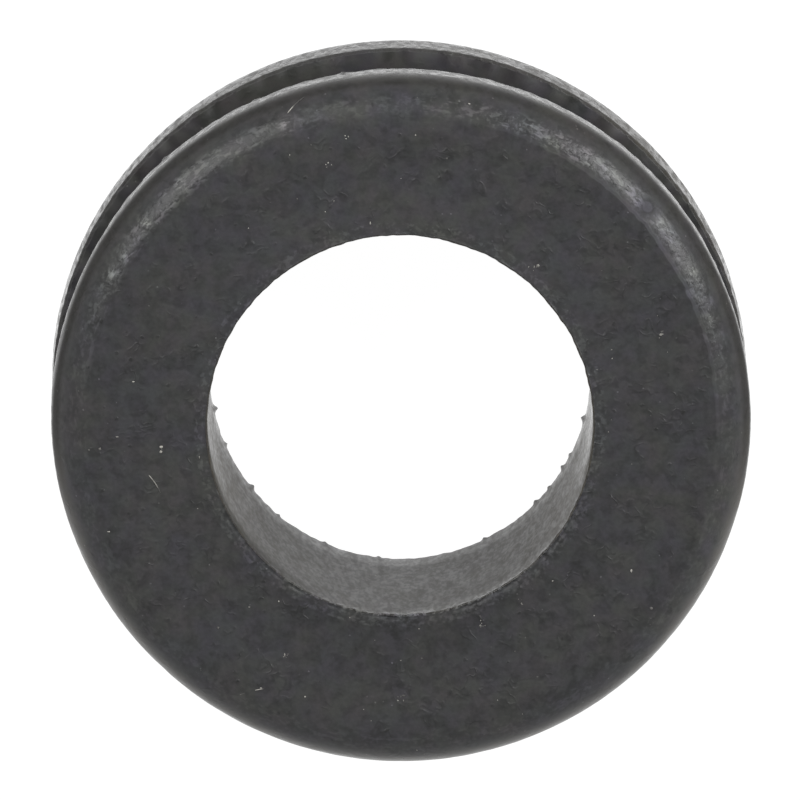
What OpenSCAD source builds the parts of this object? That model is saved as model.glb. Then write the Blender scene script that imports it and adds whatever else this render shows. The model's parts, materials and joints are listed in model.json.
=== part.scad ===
// Rubber panel grommet: one moulded ring with two round-shouldered flanges, a plain bore for the
// cable and a square groove that snaps into the hole of a panel.
// Millimetres. The bore's axis is Z, and the grommet lies on its lower flange at z = 0.

/* [Flanges] */
// Diameter over each flange
flange_d = 20; // [18:0.2:30]
// Thickness of each flange, from its end face to the groove
flange_t = 2.25; // [1.8:0.05:4]
// Radius of the round shoulder between a flange's end face and its rim
shoulder_r = 1.25; // [0.4:0.05:2]
// Radius on the edge between a flange's rim and the groove
lip_r = 0.1; // [0.05:0.05:0.3]

/* [Bore] */
// Diameter of the hole that the cable passes through
bore_d = 11; // [5:0.1:13.2]
// Radius on the two edges of the bore
bore_edge_r = 0.05; // [0.05:0.05:0.4]

/* [Panel groove] */
// Diameter of the panel hole, which is the groove's diameter at its root
groove_d = 15; // [12.5:0.1:17.8]
// Width of the groove, which is the thickness of the panel it holds
groove_w = 3.5; // [0.8:0.1:8]
// Fillet in each of the groove's two inner corners
root_r = 0.25; // [0.05:0.05:0.35]

/* [Hidden] */
$fn = 180;
flange_r = flange_d / 2;
bore_r = bore_d / 2;
groove_r = groove_d / 2;
height = 2 * flange_t + groove_w;
rubber = "#3b3c3e";
// How far a cutter runs past the surface it cuts
over = 0.5;
// The least straight rim left between the shoulder and the lip
least_rim = 0.1;
// The shoulder stays within its flange's rim, and clear of the bore's edge
shoulder = min(shoulder_r, flange_t - lip_r - least_rim, flange_r - bore_r - bore_edge_r - least_rim);
// A groove too narrow for two full fillets gets smaller ones
root = min(root_r, groove_w / 3);

// The sliver between a square corner at the origin, its body towards +X and +Y, and its round
module corner_round(r) {
    difference() {
        square(r);
        translate([r, r]) circle(r);
    }
}

// Puts a child drawn for the corner at the origin on the ring's section. towards_x and towards_y
// are 1 or -1, the directions from the corner into the body
module at_corner(x, y, towards_x, towards_y) {
    translate([x, y]) scale([towards_x, towards_y]) children();
}

// Half section of the blank ring: a rectangle with round shoulders outside and eased bore edges inside
module blank_section() {
    difference() {
        translate([bore_r, 0]) square([flange_r - bore_r, height]);
        for (end = [0, 1]) {
            y = end * height;
            inwards = 1 - 2 * end;
            at_corner(flange_r, y, -1, inwards) corner_round(shoulder);
            at_corner(bore_r, y, 1, inwards) corner_round(bore_edge_r);
        }
    }
}

// Half section of what the groove takes away: a square slot with filleted inner corners
// and an eased lip on each side of its mouth
module groove_section() {
    difference() {
        translate([groove_r, flange_t]) square([flange_r - groove_r + over, groove_w]);
        at_corner(groove_r, flange_t, 1, 1) corner_round(root);
        at_corner(groove_r, flange_t + groove_w, 1, -1) corner_round(root);
    }
    at_corner(flange_r, flange_t, -1, -1) corner_round(lip_r);
    at_corner(flange_r, flange_t + groove_w, -1, 1) corner_round(lip_r);
}

module grommet() {
    color(rubber)
    rotate_extrude()
    difference() {
        blank_section();
        groove_section();
    }
}

grommet();
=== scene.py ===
"""Looks of the rubber grommet: the moulded ring with its flash and dust, the floor, the light and the camera.

Lengths are in metres, in the part's own frame: the bore's axis is Z and the lower flange lies at z = 0.
"""

import json
import math
import random
from types import SimpleNamespace

import bmesh
import bpy
import numpy as np
from mathutils import Matrix, Vector, noise


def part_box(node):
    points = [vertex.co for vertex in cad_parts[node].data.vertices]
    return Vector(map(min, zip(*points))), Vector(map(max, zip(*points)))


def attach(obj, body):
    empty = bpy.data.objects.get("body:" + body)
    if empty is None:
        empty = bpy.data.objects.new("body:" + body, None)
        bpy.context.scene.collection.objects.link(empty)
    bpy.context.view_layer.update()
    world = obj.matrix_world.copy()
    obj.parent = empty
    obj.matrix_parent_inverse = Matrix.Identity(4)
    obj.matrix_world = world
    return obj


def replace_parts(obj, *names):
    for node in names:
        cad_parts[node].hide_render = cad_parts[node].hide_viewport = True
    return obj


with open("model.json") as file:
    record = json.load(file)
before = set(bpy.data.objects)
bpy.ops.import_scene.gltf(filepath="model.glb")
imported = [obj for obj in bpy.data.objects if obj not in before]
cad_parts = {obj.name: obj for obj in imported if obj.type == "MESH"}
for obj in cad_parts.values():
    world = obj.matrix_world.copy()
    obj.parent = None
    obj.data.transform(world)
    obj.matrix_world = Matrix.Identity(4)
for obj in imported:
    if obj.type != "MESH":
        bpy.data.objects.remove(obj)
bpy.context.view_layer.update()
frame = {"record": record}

MM = 0.001

# The section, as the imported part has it
box_low, box_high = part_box("grommet")
HEIGHT = box_high.z - box_low.z
MIDDLE = HEIGHT / 2
FLANGE_R = (box_high.x - box_low.x) / 2
BORE_R = next(m for m in frame["record"]["mounts"] if m["name"] == "bore")["dims"]["r_mm"] * MM
FLANGE_T = 2.25 * MM
SHOULDER_R = 1.25 * MM
LIP_R = 0.1 * MM
BORE_EDGE_R = 0.05 * MM
GROOVE_R = 7.5 * MM
ROOT_R = 0.25 * MM

SEGMENTS = 640


# ---------------------------------------------------------------- camera

CAMERA_TILT = math.radians(10.99)
CAMERA_YAW = 0.0027
CAMERA_DISTANCE = 420 * MM
CAMERA_LENS = 663.7
# The middle of the view lies this far from the middle of the upper face
AIM_UP = 0.738 * MM
AIM_RIGHT = -0.024 * MM


def make_camera():
    """Looks down on the upper flange from a little towards +Y, with +Y at the top of the view."""
    back = Vector((-CAMERA_YAW, math.sin(CAMERA_TILT), math.cos(CAMERA_TILT))).normalized()
    up = Vector((0, math.cos(CAMERA_TILT), -math.sin(CAMERA_TILT)))
    up = (up - back * up.dot(back)).normalized()
    right = up.cross(back)
    place = Vector((0, 0, HEIGHT)) + CAMERA_DISTANCE * back + AIM_UP * up + AIM_RIGHT * right
    data = bpy.data.cameras.new("camera")
    data.sensor_width = 36
    data.lens = CAMERA_LENS
    data.clip_start = 0.01
    data.clip_end = 20
    camera = bpy.data.objects.new("camera", data)
    bpy.context.scene.collection.objects.link(camera)
    turn = Matrix((right, up, back)).transposed().to_4x4()
    camera.matrix_world = Matrix.Translation(place) @ turn
    bpy.context.scene.camera = camera


# ---------------------------------------------------------------- nodes

# Nearly all of a noise lies between these
NOISE_RANGE = (0.3, 0.7)


class Nodes:
    """The nodes of a new material or world. A value given to a method is a number, a node or its output."""

    def __init__(self, owner):
        owner.use_nodes = True
        self.tree = owner.node_tree
        self.tree.nodes.clear()

    def add(self, kind, inputs=None, **settings):
        """A node with its settings, and values for its inputs by name or number."""
        made = self.tree.nodes.new(kind)
        for name, value in settings.items():
            setattr(made, name, value)
        for name, value in (inputs or {}).items():
            self.feed(made.inputs[name], value)
        return made

    def feed(self, socket, value):
        if isinstance(value, bpy.types.Node):
            value = value.outputs[0]
        if isinstance(value, bpy.types.NodeSocket):
            self.tree.links.new(value, socket)
        else:
            socket.default_value = value

    def maths(self, operation, *values):
        return self.add("ShaderNodeMath", dict(enumerate(values)), operation=operation).outputs[0]

    def sum(self, *values):
        """The sum of values, where a value can be a pair to multiply first."""
        total = 0
        for value in values:
            factors = value if isinstance(value, tuple) else (value, 1)
            total = self.maths("MULTIPLY_ADD", *factors, total)
        return total

    def product(self, first, second):
        return self.maths("MULTIPLY", first, second)

    def ramp(self, value, low, high, low_result=0.0, high_result=1.0):
        """low_result up to low, high_result from high on, and an S-shaped change between them."""
        inputs = {0: value, 1: low, 2: high, 3: low_result, 4: high_result}
        return self.add("ShaderNodeMapRange", inputs, interpolation_type="SMOOTHSTEP").outputs[0]

    def around(self, value, reach, middle=0.0):
        """A noise turned into values that stray by reach to each side of a middle one."""
        return self.ramp(value, *NOISE_RANGE, middle - reach, middle + reach)

    def threads(self, value, width, patches):
        """1 along the crooked lines where a noise is at its middle, in patches."""
        off_middle = self.maths("ABSOLUTE", self.sum(value, -0.5))
        return self.product(self.ramp(off_middle, 0.0, width, 1, 0), patches)

    def mix(self, share, first, second):
        """A colour between two colours."""
        inputs = {0: share, 6: first, 7: second}
        return self.add("ShaderNodeMix", inputs, data_type="RGBA").outputs[2]

    def vector(self, operation, *values):
        return self.add("ShaderNodeVectorMath", dict(enumerate(values)), operation=operation)

    def scaled(self, vector, factor):
        return self.add("ShaderNodeVectorMath", {0: vector, 3: factor}, operation="SCALE").outputs[0]

    def attribute(self, name, output="Fac"):
        return self.add("ShaderNodeAttribute", attribute_name=name).outputs[output]

    def place(self):
        """The place on the object, in millimetres."""
        return self.scaled(self.add("ShaderNodeTexCoord").outputs["Object"], 1 / MM)

    def noise(self, place, per_mm, detail=2.0, distortion=0.0):
        """Noise from 0 to 1, with about per_mm bumps to the millimetre."""
        inputs = {"Vector": place, "Scale": per_mm, "Detail": detail, "Distortion": distortion}
        return self.add("ShaderNodeTexNoise", inputs).outputs["Fac"]

    def spots(self, place, per_mm):
        """The distance to the nearest of scattered spots, in cells, and a random number for that spot."""
        cells = self.add("ShaderNodeTexVoronoi", {"Vector": place, "Scale": per_mm})
        chance = self.add("ShaderNodeSeparateColor", {0: cells.outputs["Color"]}).outputs[0]
        return cells.outputs["Distance"], chance

    def near(self, place, centre, low, high):
        """1 within low of a point, nothing beyond high; in millimetres."""
        return self.ramp(self.vector("DISTANCE", place, centre).outputs["Value"], low, high, 1, 0)

    def seen_directly(self):
        """1 for rays that show the background: from the camera, off a gloss or through glass."""
        path = self.add("ShaderNodeLightPath").outputs
        either = self.maths("MAXIMUM", path["Is Camera Ray"], path["Is Glossy Ray"])
        return self.maths("MAXIMUM", either, path["Is Transmission Ray"])


def grey(level):
    return (level, level, level, 1)


# ---------------------------------------------------------------- floor, world and lamps

FLOOR_SIZE = 8.0
FLOOR_GLOW = 0.985
FLOOR_PAINT = 0.8
# The share of the floor's paint that is still seen, and takes the shadow
SHADOW_PAINT = 0.16
SOFT_LIGHT = 0.25
LAMP_DISTANCE = 0.7
# Each soft box: its azimuth and elevation in degrees, its size in metres and its power in watts
LAMPS = {
    "lamp_right": (57, 36, (0.42, 0.48), 3.4),
    "lamp_left": (-48, 44, (0.42, 0.46), 2.0),
}


def make_floor():
    """A wide white sheet. It glows nearly white where it is seen, and its white paint keeps the shadow."""
    side = FLOOR_SIZE / 2
    mesh = bpy.data.meshes.new("floor")
    corners = [(-side, -side, 0), (side, -side, 0), (side, side, 0), (-side, side, 0)]
    mesh.from_pydata(corners, [], [(0, 1, 2, 3)])
    floor = bpy.data.objects.new("floor", mesh)
    bpy.context.scene.collection.objects.link(floor)
    material = bpy.data.materials.new("floor_white")
    nodes = Nodes(material)
    paint = nodes.add("ShaderNodeBsdfDiffuse", {"Color": grey(FLOOR_PAINT)})
    shadow = nodes.add("ShaderNodeBsdfDiffuse", {"Color": grey(SHADOW_PAINT)})
    glow = nodes.add("ShaderNodeEmission", {"Strength": FLOOR_GLOW})
    seen = nodes.add("ShaderNodeAddShader", {0: shadow, 1: glow})
    mix = nodes.add("ShaderNodeMixShader", {0: nodes.seen_directly(), 1: paint, 2: seen})
    nodes.add("ShaderNodeOutputMaterial", {"Surface": mix})
    mesh.materials.append(material)


def make_world():
    """White where it is seen, and a plain soft level of light on everything else."""
    world = bpy.data.worlds.new("studio")
    bpy.context.scene.world = world
    nodes = Nodes(world)
    soft = nodes.add("ShaderNodeBackground", {"Color": grey(1), "Strength": SOFT_LIGHT})
    white = nodes.add("ShaderNodeBackground", {"Color": grey(1)})
    mix = nodes.add("ShaderNodeMixShader", {0: nodes.seen_directly(), 1: soft, 2: white})
    nodes.add("ShaderNodeOutputWorld", {"Surface": mix})


def make_lamp(name, azimuth, elevation, size, power):
    """A soft box that looks at the object. azimuth is clockwise from +Y as seen from above, in degrees."""
    data = bpy.data.lights.new(name, "AREA")
    data.shape = "RECTANGLE"
    data.size = size[0]
    data.size_y = size[1]
    data.energy = power
    lamp = bpy.data.objects.new(name, data)
    bpy.context.scene.collection.objects.link(lamp)
    a = math.radians(azimuth)
    e = math.radians(elevation)
    away = Vector((math.sin(a) * math.cos(e), math.cos(a) * math.cos(e), math.sin(e)))
    turn = away.to_track_quat("Z", "Y").to_matrix().to_4x4()
    lamp.matrix_world = Matrix.Translation(LAMP_DISTANCE * away) @ turn
    lamp.visible_camera = False


# ---------------------------------------------------------------- the ring's section

# Points along each stretch of the section, in the upper half and in the plainer lower half
UPPER_ROWS = {
    "wall": 14, "edge": 6, "brim": 9, "face": 26, "shoulder": 24,
    "rim": 8, "lip": 5, "cheek": 4, "root": 4, "groove": 2,
}
LOWER_ROWS = {
    "wall": 10, "edge": 5, "brim": 2, "face": 6, "shoulder": 11,
    "rim": 6, "lip": 5, "cheek": 5, "root": 3, "groove": 1,
}
# The brim is the strip of the face beside the bore, where the mould closed
BRIM = 0.4 * MM


def straight(start, end, rows):
    """Points of a straight stretch of the section, without its last."""
    share = np.arange(rows)[:, None] / rows
    return np.array(start) + share * (np.array(end) - np.array(start))


def round_off(centre, radius, start, end, rows):
    """Points of an arc of the section, without its last. Angles in degrees from outwards, towards +Z."""
    angle = np.radians(start + np.arange(rows) / rows * (end - start))
    return np.array(centre) + radius * np.stack([np.cos(angle), np.sin(angle)], 1)


def half_section(rows):
    """The upper half as points (radius, height), from mid bore to mid groove, and each point's stretch."""
    bore_edge = (BORE_R + BORE_EDGE_R, HEIGHT - BORE_EDGE_R)
    brim_end = (BORE_R + BRIM, HEIGHT)
    shoulder = (FLANGE_R - SHOULDER_R, HEIGHT - SHOULDER_R)
    lip = (FLANGE_R - LIP_R, HEIGHT - FLANGE_T + LIP_R)
    root = (GROOVE_R + ROOT_R, HEIGHT - FLANGE_T - ROOT_R)
    stretches = {
        "wall": straight((BORE_R, MIDDLE), (BORE_R, bore_edge[1]), rows["wall"]),
        "edge": round_off(bore_edge, BORE_EDGE_R, 180, 90, rows["edge"]),
        "brim": straight((bore_edge[0], HEIGHT), brim_end, rows["brim"]),
        "face": straight(brim_end, (shoulder[0], HEIGHT), rows["face"]),
        "shoulder": round_off(shoulder, SHOULDER_R, 90, 0, rows["shoulder"]),
        "rim": straight((FLANGE_R, shoulder[1]), (FLANGE_R, lip[1]), rows["rim"]),
        "lip": round_off(lip, LIP_R, 0, -90, rows["lip"]),
        "cheek": straight((lip[0], HEIGHT - FLANGE_T), (root[0], HEIGHT - FLANGE_T), rows["cheek"]),
        "root": round_off(root, ROOT_R, 90, 180, rows["root"]),
        "groove": straight((GROOVE_R, root[1]), (GROOVE_R, MIDDLE), rows["groove"]),
    }
    points = np.concatenate(list(stretches.values()))
    names = np.repeat(list(stretches), [len(stretch) for stretch in stretches.values()])
    return points, names


class Ring:
    """The ring's surface as the mould drew it: a column for each azimuth, a row for each section point.

    Arrays are [column, row], or [1, row] where every column is alike.
    """

    def __init__(self):
        upper, upper_names = half_section(UPPER_ROWS)
        lower, lower_names = half_section(LOWER_ROWS)
        lower = lower[::-1] * (1, -1) + (0, HEIGHT)
        section = np.concatenate([upper, [(GROOVE_R, MIDDLE)], lower[:-1]])
        self.names = np.concatenate([upper_names, ["groove"], lower_names[::-1][:-1]])
        self.columns = SEGMENTS
        self.rows = len(section)
        self.radius = section[None, :, 0]
        self.height = section[None, :, 1]
        self.azimuth = np.arange(SEGMENTS)[:, None] * 360 / SEGMENTS
        self.out = np.stack([np.sin(np.radians(self.azimuth)), np.cos(np.radians(self.azimuth))], 2)
        along = np.roll(section, -1, 0) - np.roll(section, 1, 0)
        along /= np.linalg.norm(along, axis=1)[:, None]
        self.lean = -along[None, :, 1], along[None, :, 0]
        steps = np.linalg.norm(np.diff(section, axis=0), axis=1)
        self.along = np.concatenate([[0], np.cumsum(steps)])[None, :]
        self.points = self.placed(0, 0)

    def placed(self, outwards, proud):
        """The surface with each point moved outwards from the axis, and then proud of its own surface."""
        radius = self.radius + outwards + proud * self.lean[0]
        height = self.height + proud * self.lean[1]
        height = np.broadcast_to(height, (self.columns, self.rows))
        return np.concatenate([radius[:, :, None] * self.out, height[:, :, None]], 2)

    def on(self, *names):
        """1 on these stretches of the section, 0 elsewhere."""
        return np.isin(self.names, names)[None, :].astype(float)

    def top_rows(self):
        """The rows of the upper face and its shoulder, from the bore outwards."""
        return np.flatnonzero(self.on("brim", "face", "shoulder")[0] * (self.height[0] > MIDDLE))

    def upper(self):
        """1 on the upper flange and 0 on the lower one, with a smooth change along the bore."""
        return smooth(self.height, FLANGE_T, HEIGHT - FLANGE_T)

    def round_shoulder(self):
        """How far round its shoulder each point is, in degrees from the face's edge, and 90 beyond."""
        beyond = np.maximum(self.radius - FLANGE_R + SHOULDER_R, 0)
        rise = np.abs(self.height - MIDDLE) - MIDDLE + SHOULDER_R
        return np.degrees(np.arctan2(beyond, np.maximum(rise, 1e-9)))

    def outer_shoulder(self, start=45):
        """0 on the inner part of each shoulder, and 1 from 60 degrees round it on."""
        return smooth(self.round_shoulder(), start, 60)


def smooth(value, low, high):
    """0 at low and 1 at high, with an S-shaped change between them."""
    share = np.clip((value - low) / (high - low), 0, 1)
    return share * share * (3 - 2 * share)


def turn_from(azimuth, centre):
    """How far clockwise an azimuth is from another, from -180 to 180."""
    return (azimuth - centre + 180) % 360 - 180


def beside(azimuth, centre, width):
    """1 at an azimuth, and less away from it; width is where it has fallen to about a third."""
    return np.exp(-(turn_from(azimuth, centre) / width) ** 2)


def low_side(azimuth, start=65, end=95):
    """1 on the side towards -Y, fading between two angles from there, and 0 beyond."""
    return 1 - smooth(np.abs(turn_from(azimuth, 180)), start, end)


def wave(azimuth, order, towards):
    """A wave with order crests round the ring, one of them at an azimuth."""
    return np.cos(np.radians(order * (azimuth - towards)))


def pattern(points, per_mm, seed):
    """Smooth noise, about -1 to 1, with about per_mm bumps to the millimetre."""
    places = points.reshape(-1, 3) * (per_mm / MM) + 17.3 * seed
    values = [2 * noise.noise(place) for place in places.tolist()]
    return np.array(values).reshape(points.shape[:-1])


# ---------------------------------------------------------------- the ring's wear

# The azimuth where the bore's upper edge is the most ragged
RAGGED_SIDE = 165
# Scraps of flash on the bore's lower edge: azimuth, size and how far they stand into the bore, in millimetres
BORE_SCRAPS = (
    (259, 0.08, 0.12), (247.5, 0.06, 0.07), (232, 0.09, 0.10), (220, 0.06, 0.06),
    (203.5, 0.07, 0.05), (186.5, 0.06, 0.05), (153.5, 0.07, 0.07), (134, 0.08, 0.08),
    (128, 0.06, 0.06), (120.5, 0.07, 0.09), (116, 0.06, 0.06), (104, 0.08, 0.10),
)
# Scraps on the lower edge of the upper flange's rim
RIM_SCRAPS = ((317.5, 0.08, 0.05), (335.5, 0.07, 0.05), (350.5, 0.07, 0.04))
# The round mark on the shoulder
MARK_AZIMUTH = 48
MARK_R = 9.4 * MM
MARK_SIZE = 0.17 * MM
# The dull ring round it, in sizes of the mark
MARK_HALO = 2.2
# Scuffs on the shoulder, raised a little, whose pale colour is a painted glint: azimuth, radius and size in
# millimetres
SCUFFS_WITH_PAINTED_GLINT = (
    (38, 9.45, 0.14), (46, 9.3, 0.14), (52, 9.38, 0.16), (54, 9.4, 0.13), (62, 9.38, 0.12),
    (298, 9.3, 0.15), (302, 9.25, 0.12), (309, 9.3, 0.14), (318, 9.4, 0.12), (339, 9.3, 0.11),
)


def out_of_round(ring):
    """How far the soft ring strays from round, as a shift outwards of each flange and each bore end."""
    azimuth = ring.azimuth
    upper = ring.upper()
    flange = smooth(ring.radius, BORE_R, GROOVE_R)
    upper_flange = 0.03 * wave(azimuth, 2, -37) + 0.012 * wave(azimuth, 3, -46)
    upper_flange = upper_flange * low_side(azimuth, 80, 110)
    upper_flange = upper_flange + 0.03 * beside(azimuth, 45, 18) + 0.008 * beside(azimuth, -47, 14)
    lower_flange = 0.018 + 0.025 * wave(azimuth, 1, -103) + 0.035 * wave(azimuth, 2, 89)
    upper_bore = 0.023 * wave(azimuth, 1, -64)
    lower_bore = 0.022 * wave(azimuth, 2, -78) + 0.015 * wave(azimuth, 3, -58)
    flanges = upper * upper_flange + (1 - upper) * lower_flange
    bore = upper * upper_bore + (1 - upper) * lower_bore
    # Each rim draws in towards the groove, the lower one a little more on its +X +Y side
    depth = MIDDLE - np.abs(ring.height - MIDDLE)
    draft = 0.05 + 0.03 * (1 - upper) * beside(azimuth, 45, 20)
    draft = -draft * smooth(depth, SHOULDER_R - 0.2 * MM, FLANGE_T)
    return (flange * (flanges + draft) + (1 - flange) * bore) * MM


def scraps(ring):
    """A shift outwards that makes the scraps of flash: into the bore, or out from the rim."""
    shift = 0
    for azimuth, size, reach in BORE_SCRAPS:
        near = spot(ring, azimuth, BORE_R, BORE_EDGE_R, size * MM)
        shift = shift - near * reach * MM
    for azimuth, size, reach in RIM_SCRAPS:
        near = spot(ring, azimuth, FLANGE_R, HEIGHT - FLANGE_T + LIP_R, size * MM)
        shift = shift + near * reach * MM
    return shift


def spot(ring, azimuth, radius, height, size):
    """1 at a spot on the ring and nothing well away from it."""
    a = math.radians(azimuth)
    centre = (radius * math.sin(a), radius * math.cos(a), height)
    return np.exp(-(np.linalg.norm(ring.points - centre, axis=2) / size) ** 2)


def round_mark(ring, size):
    """1 at the middle of the round mark and nothing well away from it."""
    return spot(ring, MARK_AZIMUTH, MARK_R, on_shoulder(MARK_R, MARK_AZIMUTH).z, size)


def on_shoulder(radius, azimuth):
    """The point of the upper shoulder, as drawn, at a radius and azimuth."""
    across = radius - FLANGE_R + SHOULDER_R
    height = HEIGHT - SHOULDER_R + math.sqrt(SHOULDER_R ** 2 - across ** 2)
    a = math.radians(azimuth)
    return Vector((radius * math.sin(a), radius * math.cos(a), height))


def proud(ring):
    """How far each point stands out of the surface as drawn."""
    skin = 0.005 * pattern(ring.points, 0.8, 1) + 0.0025 * pattern(ring.points, 2.6, 2)
    ragged = pattern(ring.points, 2.2, 3)
    lip = ring.on("lip", "edge") * (0.01 * ragged + 0.009 * pattern(ring.points, 5, 4))
    marks = 0.012 * scuffs_with_painted_glint(ring) - 0.015 * round_mark(ring, MARK_SIZE)
    return (skin + lip + brim_crease(ring, ragged) + marks) * MM


def brim_crease(ring, ragged):
    """The furrow and crumbs of flash beside the bore's upper edge, most of all on the low side."""
    low = beside(ring.azimuth, RAGGED_SIDE, 65)
    furrow = np.exp(-((ring.radius - BORE_R - 0.1 * MM) / (0.04 * MM)) ** 2)
    furrow = -ring.on("brim", "face") * furrow * (0.008 + 0.035 * low) * np.clip(0.8 + ragged, 0.2, 1.5)
    crumbs = smooth(pattern(ring.points, 4.5, 5), 0.25, 0.8) * ring.on("brim") * (0.005 + 0.018 * low)
    crumbs = crumbs * smooth(ring.radius, BORE_R + 0.12 * MM, BORE_R + 0.2 * MM)
    return ring.upper() * (furrow + crumbs)


# ---------------------------------------------------------------- the ring's finish, point by point

# The mould drew the texture out along the bore and on the rims: a length there is this much in the texture
WALL_DRAW = 0.35
RIM_DRAW = 0.45
# How many times finer the scuffs are across the ring than along it
SCUFF_DRAW = 2.4
# Where the shoulder steps down from the face, in millimetres, and how far that line wanders inwards
STEP_R = 9.06
STEP_WANDER = 0.15
# The plain roughness of the rubber's faces
DULL = 0.42
# The rubber lies between two near blacks, tinted one way or the other, under a film of brown dust
COOL_RUBBER = (0.0234, 0.0236, 0.0266, 1)
WARM_RUBBER = (0.0256, 0.0250, 0.0240, 1)
VIOLET_TINT = (1.02, 0.97, 1.05, 1)
GREEN_TINT = (0.98, 1.03, 0.97, 1)
DUST_FILM = (0.051, 0.0455, 0.036)


def roughness(ring):
    """How matt each point is: dull faces, a rubbed shoulder and shiny rims."""
    rough = DULL * ring.on("brim", "face", "cheek", "root", "groove")
    rough = rough + ring.on("shoulder", "rim", "lip") * flange_roughness(ring)
    rough = rough + ring.on("wall", "edge") * wall_roughness(ring)
    return rough + 0.3 * round_mark(ring, MARK_HALO * MARK_SIZE)


def flange_roughness(ring):
    """The shoulder, shiny where it is rubbed and dull past there, and the shiny rim with its dull lip."""
    azimuth = ring.azimuth
    round_shoulder = ring.round_shoulder()
    outer = ring.outer_shoulder()
    rubbed = smooth(round_shoulder, 2, 10) * (1 - outer)
    shoulder = DULL - 0.08 * rubbed + outer * (0.4 - 0.52 * low_side(azimuth))
    top = beside(azimuth, 2, 26)
    start = 74 - 17 * top - 6 * beside(azimuth, 312, 36) - 4 * beside(azimuth, 85, 25)
    start = start - 8 * beside(azimuth, 280, 12) - 5 * beside(azimuth, 42, 18)
    rim_share = smooth(round_shoulder, start, start + 12 + 12 * top)
    upper = 0.2 + 0.06 * beside(azimuth, 315, 45) - 0.04 * beside(azimuth, 70, 10)
    upper = upper + 0.03 * beside(azimuth, 46, 14)
    lower = 0.18 - 0.06 * beside(azimuth, 0, 20) + 0.09 * beside(azimuth, 52, 24)
    lower = lower + 0.05 * beside(azimuth, 315, 30)
    rough = shoulder * (1 - rim_share) + np.where(ring.height > MIDDLE, upper, lower) * rim_share
    return rough + ring.on("lip") * smooth(np.abs(ring.lean[1]), 0.15, 0.5) * 0.4


def wall_roughness(ring):
    """The bore: smoothest on its two far sides and near its lower end, duller along its upper end."""
    azimuth = ring.azimuth
    far_sides = smooth(np.abs(turn_from(azimuth, 180)), 60, 90)
    wall = 0.47 - 0.14 * far_sides + 0.06 * beside(azimuth, 226, 22) + 0.06 * beside(azimuth, 142, 28)
    wall = wall - 0.11 * beside(azimuth, 92, 16) * (1 - smooth(ring.height, 5 * MM, 7 * MM))
    wall = wall - 0.12 * (1 - smooth(ring.height, 0.7 * MM, 1.4 * MM))
    upper_end = smooth(ring.height, HEIGHT - 1.2 * MM, HEIGHT - 0.4 * MM)
    duller = 0.35 * far_sides + 0.25 * beside(azimuth, 240, 28) - 0.06 * beside(azimuth, 148, 20)
    wall = wall + upper_end * duller
    bright_line = smooth(ring.height, HEIGHT - 0.4 * MM, HEIGHT - 0.2 * MM)
    return np.clip(wall - bright_line * beside(azimuth, RAGGED_SIDE, 50) * 0.25, 0.2, 1)


def tone_and_painted_light(ring):
    """How light the rubber is at each point against its plain colour; most of this is painted light and
    shade, not the rubber's own colour.
    """
    azimuth = ring.azimuth
    round_shoulder = ring.round_shoulder()
    low = low_side(azimuth)
    face = ring.on("brim", "face", "shoulder")
    inner = face * (1 - smooth(ring.radius, 6 * MM, 8 * MM))
    verge = face * smooth(ring.radius, 8.3 * MM, 8.8 * MM) * (1 - smooth(round_shoulder, 8, 25))
    shoulder = ring.on("shoulder") * smooth(round_shoulder, 10, 25) * (1 - ring.outer_shoulder())
    # The lightening below, named rubbed, is painted highlight on the inner shoulder at three azimuths
    rubbed = 0.45 * beside(azimuth, 108, 28) + 0.3 * beside(azimuth, 250, 26) + 0.3 * beside(azimuth, 0, 18)
    outer = ring.on("shoulder") * ring.outer_shoulder(40)
    dark = (1 - low) * (1 - 0.7 * beside(azimuth, 40, 25))
    # Painted light: the inner face is lighter towards +Y and darker towards -Y
    light = 0.94 + inner * (0.02 + 0.27 * wave(azimuth, 1, 0)) + shoulder * rubbed
    # Painted highlight along the face's outer edge near +Y, and painted shade there on the low side
    light = light + verge * (0.45 * beside(azimuth, -10, 35) - 0.12 * low)
    # Painted shade on the outer shoulder away from the low side, and painted light on it on the low side
    light = light + outer * (0.15 * low - 0.55 * dark)
    # Painted light in the groove
    return light + ring.on("groove", "root", "cheek") * 0.8


def film(ring):
    """How much pale brown dust clings to each point: in the bore, on the rims, a little on the shoulders."""
    azimuth = ring.azimuth
    low = low_side(azimuth)
    lower_flange = ring.height <= MIDDLE
    bore = 0.3 + 0.6 * beside(azimuth, 98, 40) + 0.5 * beside(azimuth, 258, 30)
    shoulder = ring.outer_shoulder(40) * (0.18 + 0.5 * low)
    rims = smooth(ring.round_shoulder(), 60, 75) * (0.3 * low + 0.35 * lower_flange * beside(azimuth, 50, 30))
    dusty = ring.on("wall", "edge") * bore + ring.on("shoulder", "rim", "lip") * (shoulder + rims)
    return np.clip(dusty + 0.15 * ring.on("cheek", "root", "groove"), 0, 1)


def scuffs(ring):
    """How scuffed each point is, from 0 to 1, which also sets how much painted glint it carries: the
    shoulder's upper quarters most, where the lamps' highlights fall.
    """
    round_shoulder = ring.round_shoulder()
    past_step = beside(ring.azimuth, 46, 16)
    shoulder = smooth(round_shoulder, 4 + 12 * past_step, 20 + 8 * past_step)
    shoulder = shoulder * (1 - smooth(round_shoulder, 32, 46))
    worn = 0.12 + 0.75 * beside(ring.azimuth, 42, 26) + 0.45 * beside(ring.azimuth, 316, 24)
    worn = worn * (1 - round_mark(ring, MARK_HALO * MARK_SIZE))
    return np.clip(ring.on("shoulder") * shoulder * worn + 0.2 * ring.on("brim"), 0, 1)


def relief(ring):
    """How deep the rubber's own texture is: full on the faces and less where the mould was smooth."""
    shoulder = ring.on("shoulder") * smooth(ring.round_shoulder(), 2, 14)
    smoothest = ring.on("wall", "edge", "root", "groove", "cheek") + shoulder
    return 1 - 0.75 * smoothest - 0.4 * ring.on("rim", "lip")


def marked(ring):
    """How strongly the rubber's own mottling shows: little in the bore and the groove."""
    return 1 - 0.7 * ring.on("wall", "edge", "root", "groove", "cheek")


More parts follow.
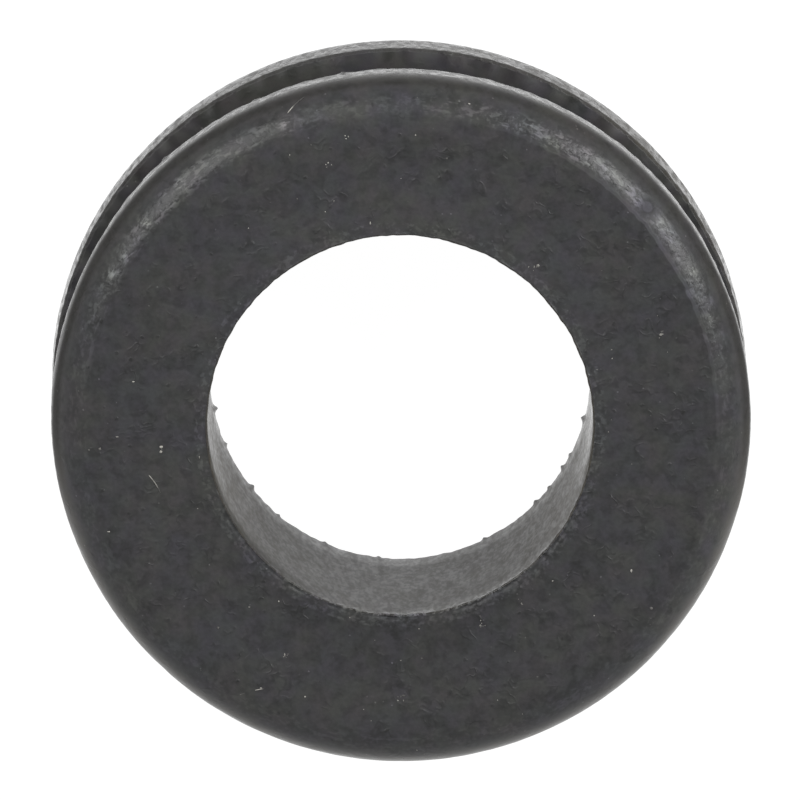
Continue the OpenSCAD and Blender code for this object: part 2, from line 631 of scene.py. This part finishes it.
def texture_place(ring):
    """Where each point lies in the rubber's texture, in millimetres.

    The texture is drawn out along the bore, so the bore's lower end lies higher in it than on the ring. The
    lower flange goes on from there, and the groove leads back to the upper flange, which lies in its place.
    """
    low_end = (1 - WALL_DRAW) * HEIGHT
    heights = [0, FLANGE_T, HEIGHT - FLANGE_T, HEIGHT]
    outside = np.interp(ring.height, heights, [low_end, low_end - FLANGE_T, HEIGHT - FLANGE_T, HEIGHT])
    inside = low_end + WALL_DRAW * ring.height
    height = np.where(ring.on("wall", "edge") > 0, inside, outside)
    place = ring.points.copy()
    place[:, :, 2] = height
    return place / MM


def grit(ring):
    """How gritty each point is: the bore's wall, its upper end most, and the low side of the brim."""
    low = beside(ring.azimuth, RAGGED_SIDE, 60)
    upper_end = smooth(ring.height, HEIGHT - 0.45 * MM, HEIGHT - 0.15 * MM)
    wall = ring.on("wall", "edge") * (0.45 + 0.4 * upper_end * low)
    return np.clip(wall + 0.25 * low * ring.on("brim"), 0, 1)


def rim(ring):
    """1 on the lower flange's rim and less on the upper one's, fading in from the shoulder."""
    flange = 1 - 0.3 * (ring.height > MIDDLE)
    return ring.on("shoulder", "rim", "lip") * smooth(ring.round_shoulder(), 65, 85) * flange


def rag_and_painted_glint(ring):
    """1 on the ragged low side of the bore's upper edge, where the colour paints a bright line: a painted
    highlight.
    """
    edge = smooth(ring.height, HEIGHT - 0.14 * MM, HEIGHT - 0.06 * MM)
    edge = edge * (1 - smooth(ring.radius, BORE_R, BORE_R + 0.1 * MM))
    return ring.on("wall", "edge", "brim") * edge * beside(ring.azimuth, RAGGED_SIDE, 60)


def scuffs_with_painted_glint(ring):
    """1 at the middle of each scuff whose pale colour is a painted glint."""
    scuffed = 0
    for azimuth, radius, size in SCUFFS_WITH_PAINTED_GLINT:
        height = on_shoulder(radius * MM, azimuth).z
        scuffed = scuffed + spot(ring, azimuth, radius * MM, height, size * MM)
    return np.clip(scuffed, 0, 1)


def step(ring):
    """Where the shoulder starts with a small step down from the face, with a painted highlight along it: by
    the round mark.
    """
    return ring.on("face", "shoulder") * beside(ring.azimuth, 54, 28)


def rubber_marks(nodes):
    """The rubber's marks: noises, shares from 0 to 1, and shares from -1 to 1 of what goes up and down."""
    place = nodes.attribute("texture_place", "Vector")
    drawn = nodes.vector("MULTIPLY", place, (1, 1, RIM_DRAW)).outputs[0]
    cloud = nodes.noise(place, 0.8, 2)
    tint = nodes.noise(place, 1.5, 1)
    mottle = nodes.noise(place, 2.6, 1.5)
    grain = nodes.noise(place, 8, 1)

    # Crooked low ridges and thin crevices; the colour paints the ridges lighter and the crevices darker,
    # painted light and shade
    patches = nodes.ramp(nodes.noise(place, 1.1, 1), 0.38, 0.65)
    crease = nodes.threads(mottle, 0.17, patches)
    patches = nodes.ramp(nodes.noise(place, 1.7, 1), 0.5, 0.68)
    crevice = nodes.threads(nodes.noise(place, 3, 1, 0.5), 0.13, patches)

    # Grit in the bore, lumps on the rims and a ragged edge on the bore, whose bright line in the colour is a
    # painted highlight
    grains = nodes.product(nodes.ramp(grain, 0.32, 0.68, -1, 1), nodes.attribute("grit"))
    lumps = nodes.ramp(nodes.noise(drawn, 4.5, 2), 0.32, 0.68, -1, 1)
    lumps = nodes.product(lumps, nodes.attribute("rim"))
    ragged = nodes.product(nodes.ramp(nodes.noise(place, 9, 1), 0.48, 0.62), nodes.attribute("rag_and_painted_glint"))

    # Pits with uneven edges, and pale specks, are each some of the spots of their own scatter
    distance, chance = nodes.spots(place, 2.6)
    distance = nodes.sum(distance, (grain, 0.25), -0.125)
    pit = nodes.product(nodes.ramp(distance, 0.04, 0.2, 1, 0), nodes.ramp(chance, 0.45, 0.9))
    distance, chance = nodes.spots(place, 4.2)
    speck = nodes.product(nodes.ramp(distance, 0.06, 0.14, 1, 0), nodes.ramp(chance, 0.75, 1.0))

    # The round mark, with its darker ring
    centre = on_shoulder(MARK_R, MARK_AZIMUTH) / MM
    mark = nodes.near(place, centre, 0.13, 0.2)
    mark_ring = nodes.sum(nodes.near(place, centre, 0.2, 0.32), (mark, -1))
    return SimpleNamespace(
        cloud=cloud, tint=tint, mottle=mottle, grain=grain, crease=crease, crevice=crevice, grains=grains,
        lumps=lumps, ragged=ragged, pit=pit, speck=speck, mark=mark, mark_ring=mark_ring,
    )


def add_wear(nodes, marks):
    """Adds the marks of rubbing on the shoulder, which handling drew out along the ring, with painted glints
    in them, and the step with a painted highlight along it.
    """
    along_ring = nodes.attribute("along_ring", "Vector")
    scuff_and_glint = nodes.attribute("scuff_and_glint")
    streak = nodes.noise(along_ring, 2.6, 2.5)
    # Painted glints: bright dashes in the colour where the lamps' highlight falls on the scuffs
    long_dashes = nodes.ramp(streak, 0.53, 0.65)
    short_dashes = nodes.ramp(marks.grain, 0.56, 0.68, 0, 0.5)
    marks.dashes = nodes.product(nodes.maths("MAXIMUM", long_dashes, short_dashes), scuff_and_glint)
    marks.rubs = nodes.product(nodes.sum(nodes.around(streak, 1), nodes.around(marks.grain, 0.4)), scuff_and_glint)
    # The pale scuffs' relief is real, and their lightening is a painted glint
    marks.pale = nodes.product(nodes.ramp(nodes.noise(along_ring, 5, 2), 0.44, 0.6), nodes.attribute("pale"))

    # The step down from the face, with a painted highlight along it, wanders a little
    past_step = nodes.sum(nodes.attribute("drawn_radius"), (marks.mottle, STEP_WANDER), -STEP_R)
    step_line = nodes.sum(nodes.ramp(past_step, -0.03, 0.02), (nodes.ramp(past_step, 0.06, 0.14), -1))
    marks.step = nodes.product(nodes.ramp(past_step, 0.0, 0.08), nodes.attribute("step"))
    marks.step_line = nodes.product(step_line, nodes.attribute("step"))


def rubber_colour(nodes, marks):
    """Black rubber between a cool and a warm shade, lighter or darker by its marks and by painted light and
    shade, under a film of dust.
    """
    colour = nodes.mix(nodes.ramp(marks.cloud, *NOISE_RANGE), COOL_RUBBER, WARM_RUBBER)
    hues = nodes.mix(nodes.ramp(marks.tint, 0.35, 0.65), VIOLET_TINT, GREEN_TINT)
    colour = nodes.vector("MULTIPLY", colour, hues).outputs[0]
    # Painted light and shade on the relief: the ridges lighter, the crevices and pits darker
    markings = nodes.sum(
        nodes.around(marks.mottle, 0.26), nodes.around(marks.grain, 0.16),
        (marks.crease, 0.12), (marks.crevice, -0.4), (marks.pit, -0.6),
    )
    # The lightness carries painted light and shade: the tone, the ragged edge's bright line, the glints on
    # the scuffs and the line along the step
    lightness = nodes.sum(
        nodes.attribute("tone_and_painted_light"), nodes.around(marks.cloud, 0.07), (markings, nodes.attribute("marked")),
        (marks.grains, 0.5), (marks.lumps, 0.25), (marks.ragged, 7), (marks.speck, 2.5),
        (marks.mark, 1), (marks.mark_ring, -0.5),
        (marks.dashes, 6), (marks.pale, 7.5), (marks.step_line, 2),
    )
    clinging = nodes.product(nodes.attribute("film"), nodes.around(marks.mottle, 0.2, 1))
    thickness = nodes.around(marks.mottle, 0.12, 1)
    thickness = nodes.sum(thickness, (marks.grains, 0.25), (marks.lumps, 0.2), (marks.speck, 3))
    return nodes.mix(clinging, nodes.scaled(colour, lightness), nodes.scaled(DUST_FILM, thickness))


def rubber_height(nodes, marks):
    """How far the rubber's fine marks stand up, in millimetres."""
    own = nodes.sum(
        (marks.mottle, 0.028), (marks.grain, 0.005),
        (marks.crease, 0.011), (marks.crevice, -0.011), (marks.pit, -0.012),
    )
    return nodes.sum(
        (own, nodes.attribute("relief")),
        (marks.grains, 0.004), (marks.lumps, 0.008), (marks.ragged, 0.015), (marks.speck, 0.006),
        (marks.mark, -0.01), (marks.rubs, 0.005), (marks.pale, 0.006), (marks.step, -0.016),
    )


def rubber():
    """Dull black rubber with a faint bloom: mottled, grained and pitted, and scuffed where it is rubbed, with
    painted light, shade and glints in its colour.
    """
    material = bpy.data.materials.new("rubber")
    nodes = Nodes(material)
    marks = rubber_marks(nodes)
    add_wear(nodes, marks)
    rough = nodes.sum(
        nodes.attribute("roughness"), nodes.around(marks.mottle, 0.04),
        (marks.grains, 0.12), (marks.lumps, 0.18), (marks.rubs, 0.05),
    )
    height = rubber_height(nodes, marks)
    shader = nodes.add("ShaderNodeBsdfPrincipled", {
        "Base Color": rubber_colour(nodes, marks),
        "Roughness": rough,
        "Specular IOR Level": 0.4,
        "Normal": nodes.add("ShaderNodeBump", {"Distance": MM, "Strength": 1.0, "Height": height}),
    })
    nodes.add("ShaderNodeOutputMaterial", {"Surface": shader})
    return material


# ---------------------------------------------------------------- the ring and its dust

def ring_faces(ring):
    """Each face as four corners, which are numbers of points, column by column."""
    column = np.arange(ring.columns)[:, None]
    row = np.arange(ring.rows)[None, :]
    next_column = (column + 1) % ring.columns
    next_row = (row + 1) % ring.rows
    corners = [column * ring.rows + row, column * ring.rows + next_row]
    corners += [next_column * ring.rows + next_row, next_column * ring.rows + row]
    return np.stack(corners, 2).reshape(-1, 4)


def unroll(mesh, ring):
    """Lays the surface out flat for textures: round the ring across, round the section up."""
    column = np.repeat(np.arange(ring.columns), ring.rows)[:, None] + np.array((0, 0, 1, 1))
    row = np.tile(np.arange(ring.rows), ring.columns)[:, None] + np.array((0, 1, 1, 0))
    around = column / ring.columns
    length = ring.along[0, -1] + np.linalg.norm(ring.points[0, 0] - ring.points[0, -1])
    up = np.append(ring.along[0], length)[row] / length
    flat = mesh.uv_layers.new(name="OFBake")
    flat.data.foreach_set("uv", np.stack([around, up], 2).ravel())


def texture_along_ring(ring):
    """Where each point lies in the scuffs' texture, in millimetres: round the ring, and across it."""
    around = np.broadcast_to(FLANGE_R * ring.out, (ring.columns, ring.rows, 2))
    across = np.broadcast_to(ring.along[:, :, None] * SCUFF_DRAW, (ring.columns, ring.rows, 1))
    return np.concatenate([around, across], 2) / MM


def make_ring(ring, points):
    mesh = bpy.data.meshes.new("grommet_rubber")
    mesh.from_pydata(points.reshape(-1, 3).tolist(), [], ring_faces(ring).tolist())
    mesh.polygons.foreach_set("use_smooth", [True] * len(mesh.polygons))
    shares = {
        "roughness": roughness(ring), "tone_and_painted_light": tone_and_painted_light(ring), "film": film(ring), "scuff_and_glint": scuffs(ring),
        "relief": relief(ring), "marked": marked(ring), "grit": grit(ring), "rim": rim(ring),
        "rag_and_painted_glint": rag_and_painted_glint(ring), "step": step(ring), "pale": scuffs_with_painted_glint(ring), "drawn_radius": ring.radius / MM,
    }
    for name, share in shares.items():
        values = np.broadcast_to(share, (ring.columns, ring.rows))
        mesh.attributes.new(name, "FLOAT", "POINT").data.foreach_set("value", values.ravel())
    places = {"texture_place": texture_place(ring), "along_ring": texture_along_ring(ring)}
    for name, values in places.items():
        mesh.attributes.new(name, "FLOAT_VECTOR", "POINT").data.foreach_set("vector", values.ravel())
    unroll(mesh, ring)
    mesh.materials.append(rubber())
    mesh.update()
    made = add_piece("grommet_rubber", mesh)
    return made


def add_piece(name, mesh):
    piece = bpy.data.objects.new(name, mesh)
    bpy.context.scene.collection.objects.link(piece)
    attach(piece, "root")
    return piece


# Dust on the upper flange: single specks, and clumps of five
DUST_SEED = 5
DUST_SPECKS = 55
DUST_CLUMPS = 9
DARK_DUST = (0.08, 0.078, 0.075, 1)
PALE_DUST = (0.50, 0.48, 0.44, 1)
# Fibres of lint: the radius in millimetres and the azimuth of each fibre's two ends
LINT = (
    ((7.35, 258.5), (7.15, 254)),
    ((9.1, 210.5), (8.6, 207)),
    ((9.55, 340.5), (9.8, 343.5)),
)
LINT_RADIUS = 0.014 * MM


def top_point(ring, points, radius, azimuth):
    """The point of the finished upper face or shoulder at a radius and azimuth."""
    rows = ring.top_rows()
    column = round(azimuth / 360 * ring.columns) % ring.columns
    return Vector([np.interp(radius, ring.radius[0, rows], points[column, rows, axis]) for axis in range(3)])


def add_speck(build, centre, size, chance):
    """An uneven low crumb."""
    made = bmesh.ops.create_icosphere(build, subdivisions=1, radius=size)
    stretch = Vector((chance.uniform(0.6, 2.0), chance.uniform(0.6, 2.0), 0.7))
    for corner in made["verts"]:
        corner.co = corner.co * stretch * chance.uniform(0.7, 1.2) + centre


def add_fibre(build, start, end):
    """A thin closed tube that bends to one side between its ends."""
    sides = 6
    joints = 8
    ahead = end - start
    aside = Vector((-ahead.y, ahead.x, 0)).normalized()
    above = aside.cross(ahead).normalized() * -1
    rings = []
    for joint in range(joints + 1):
        share = joint / joints
        bulge = math.sin(share * math.pi)
        centre = start + ahead * share + aside * (0.04 * ahead.length * bulge) + above * LINT_RADIUS * 0.5
        reach = LINT_RADIUS * (0.5 + 0.5 * min(1, 3 * bulge))
        turns = [2 * math.pi * side / sides for side in range(sides)]
        corners = [centre + reach * (math.cos(turn) * aside + math.sin(turn) * above) for turn in turns]
        rings.append([build.verts.new(corner) for corner in corners])
    for near, far in zip(rings, rings[1:]):
        for side in range(sides):
            other = (side + 1) % sides
            build.faces.new((near[side], near[other], far[other], far[side]))
    build.faces.new(rings[0][::-1])
    build.faces.new(rings[-1])


def dust_material():
    """Pale grey-brown dust, no two crumbs quite alike."""
    material = bpy.data.materials.new("dust")
    nodes = Nodes(material)
    shade = nodes.ramp(nodes.noise(nodes.place(), 3, 1), 0.35, 0.65)
    colour = nodes.mix(shade, DARK_DUST, PALE_DUST)
    shader = nodes.add("ShaderNodeBsdfPrincipled", {"Base Color": colour, "Roughness": 0.85})
    nodes.add("ShaderNodeOutputMaterial", {"Surface": shader})
    return material


def make_dust(ring, points):
    """Crumbs and lint that lie on the upper flange, as one piece."""
    chance = random.Random(DUST_SEED)
    build = bmesh.new()
    for crumbs in [1] * DUST_SPECKS + [5] * DUST_CLUMPS:
        radius = chance.uniform(BORE_R + 0.2 * MM, FLANGE_R - 0.45 * MM)
        azimuth = chance.uniform(0, 360)
        for _ in range(crumbs):
            aside = chance.uniform(-0.1, 0.1) * MM * (crumbs > 1)
            centre = top_point(ring, points, radius + aside, azimuth + chance.uniform(-0.7, 0.7))
            add_speck(build, centre, MM * (0.012 + 0.026 * chance.random() ** 2), chance)
    for ends in LINT:
        start, end = [top_point(ring, points, radius * MM, azimuth) for radius, azimuth in ends]
        add_fibre(build, start, end)
    bmesh.ops.recalc_face_normals(build, faces=build.faces)
    mesh = bpy.data.meshes.new("dust")
    build.to_mesh(mesh)
    build.free()
    mesh.materials.append(dust_material())
    return add_piece("dust", mesh)


# ---------------------------------------------------------------- the scene


make_camera()
make_floor()
make_world()
for name, settings in LAMPS.items():
    make_lamp(name, *settings)
grommet = Ring()
surface = grommet.placed(out_of_round(grommet) + scraps(grommet), proud(grommet))
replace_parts(make_ring(grommet, surface), "grommet")
make_dust(grommet, surface)
bpy.context.scene.view_settings.view_transform = "Standard"
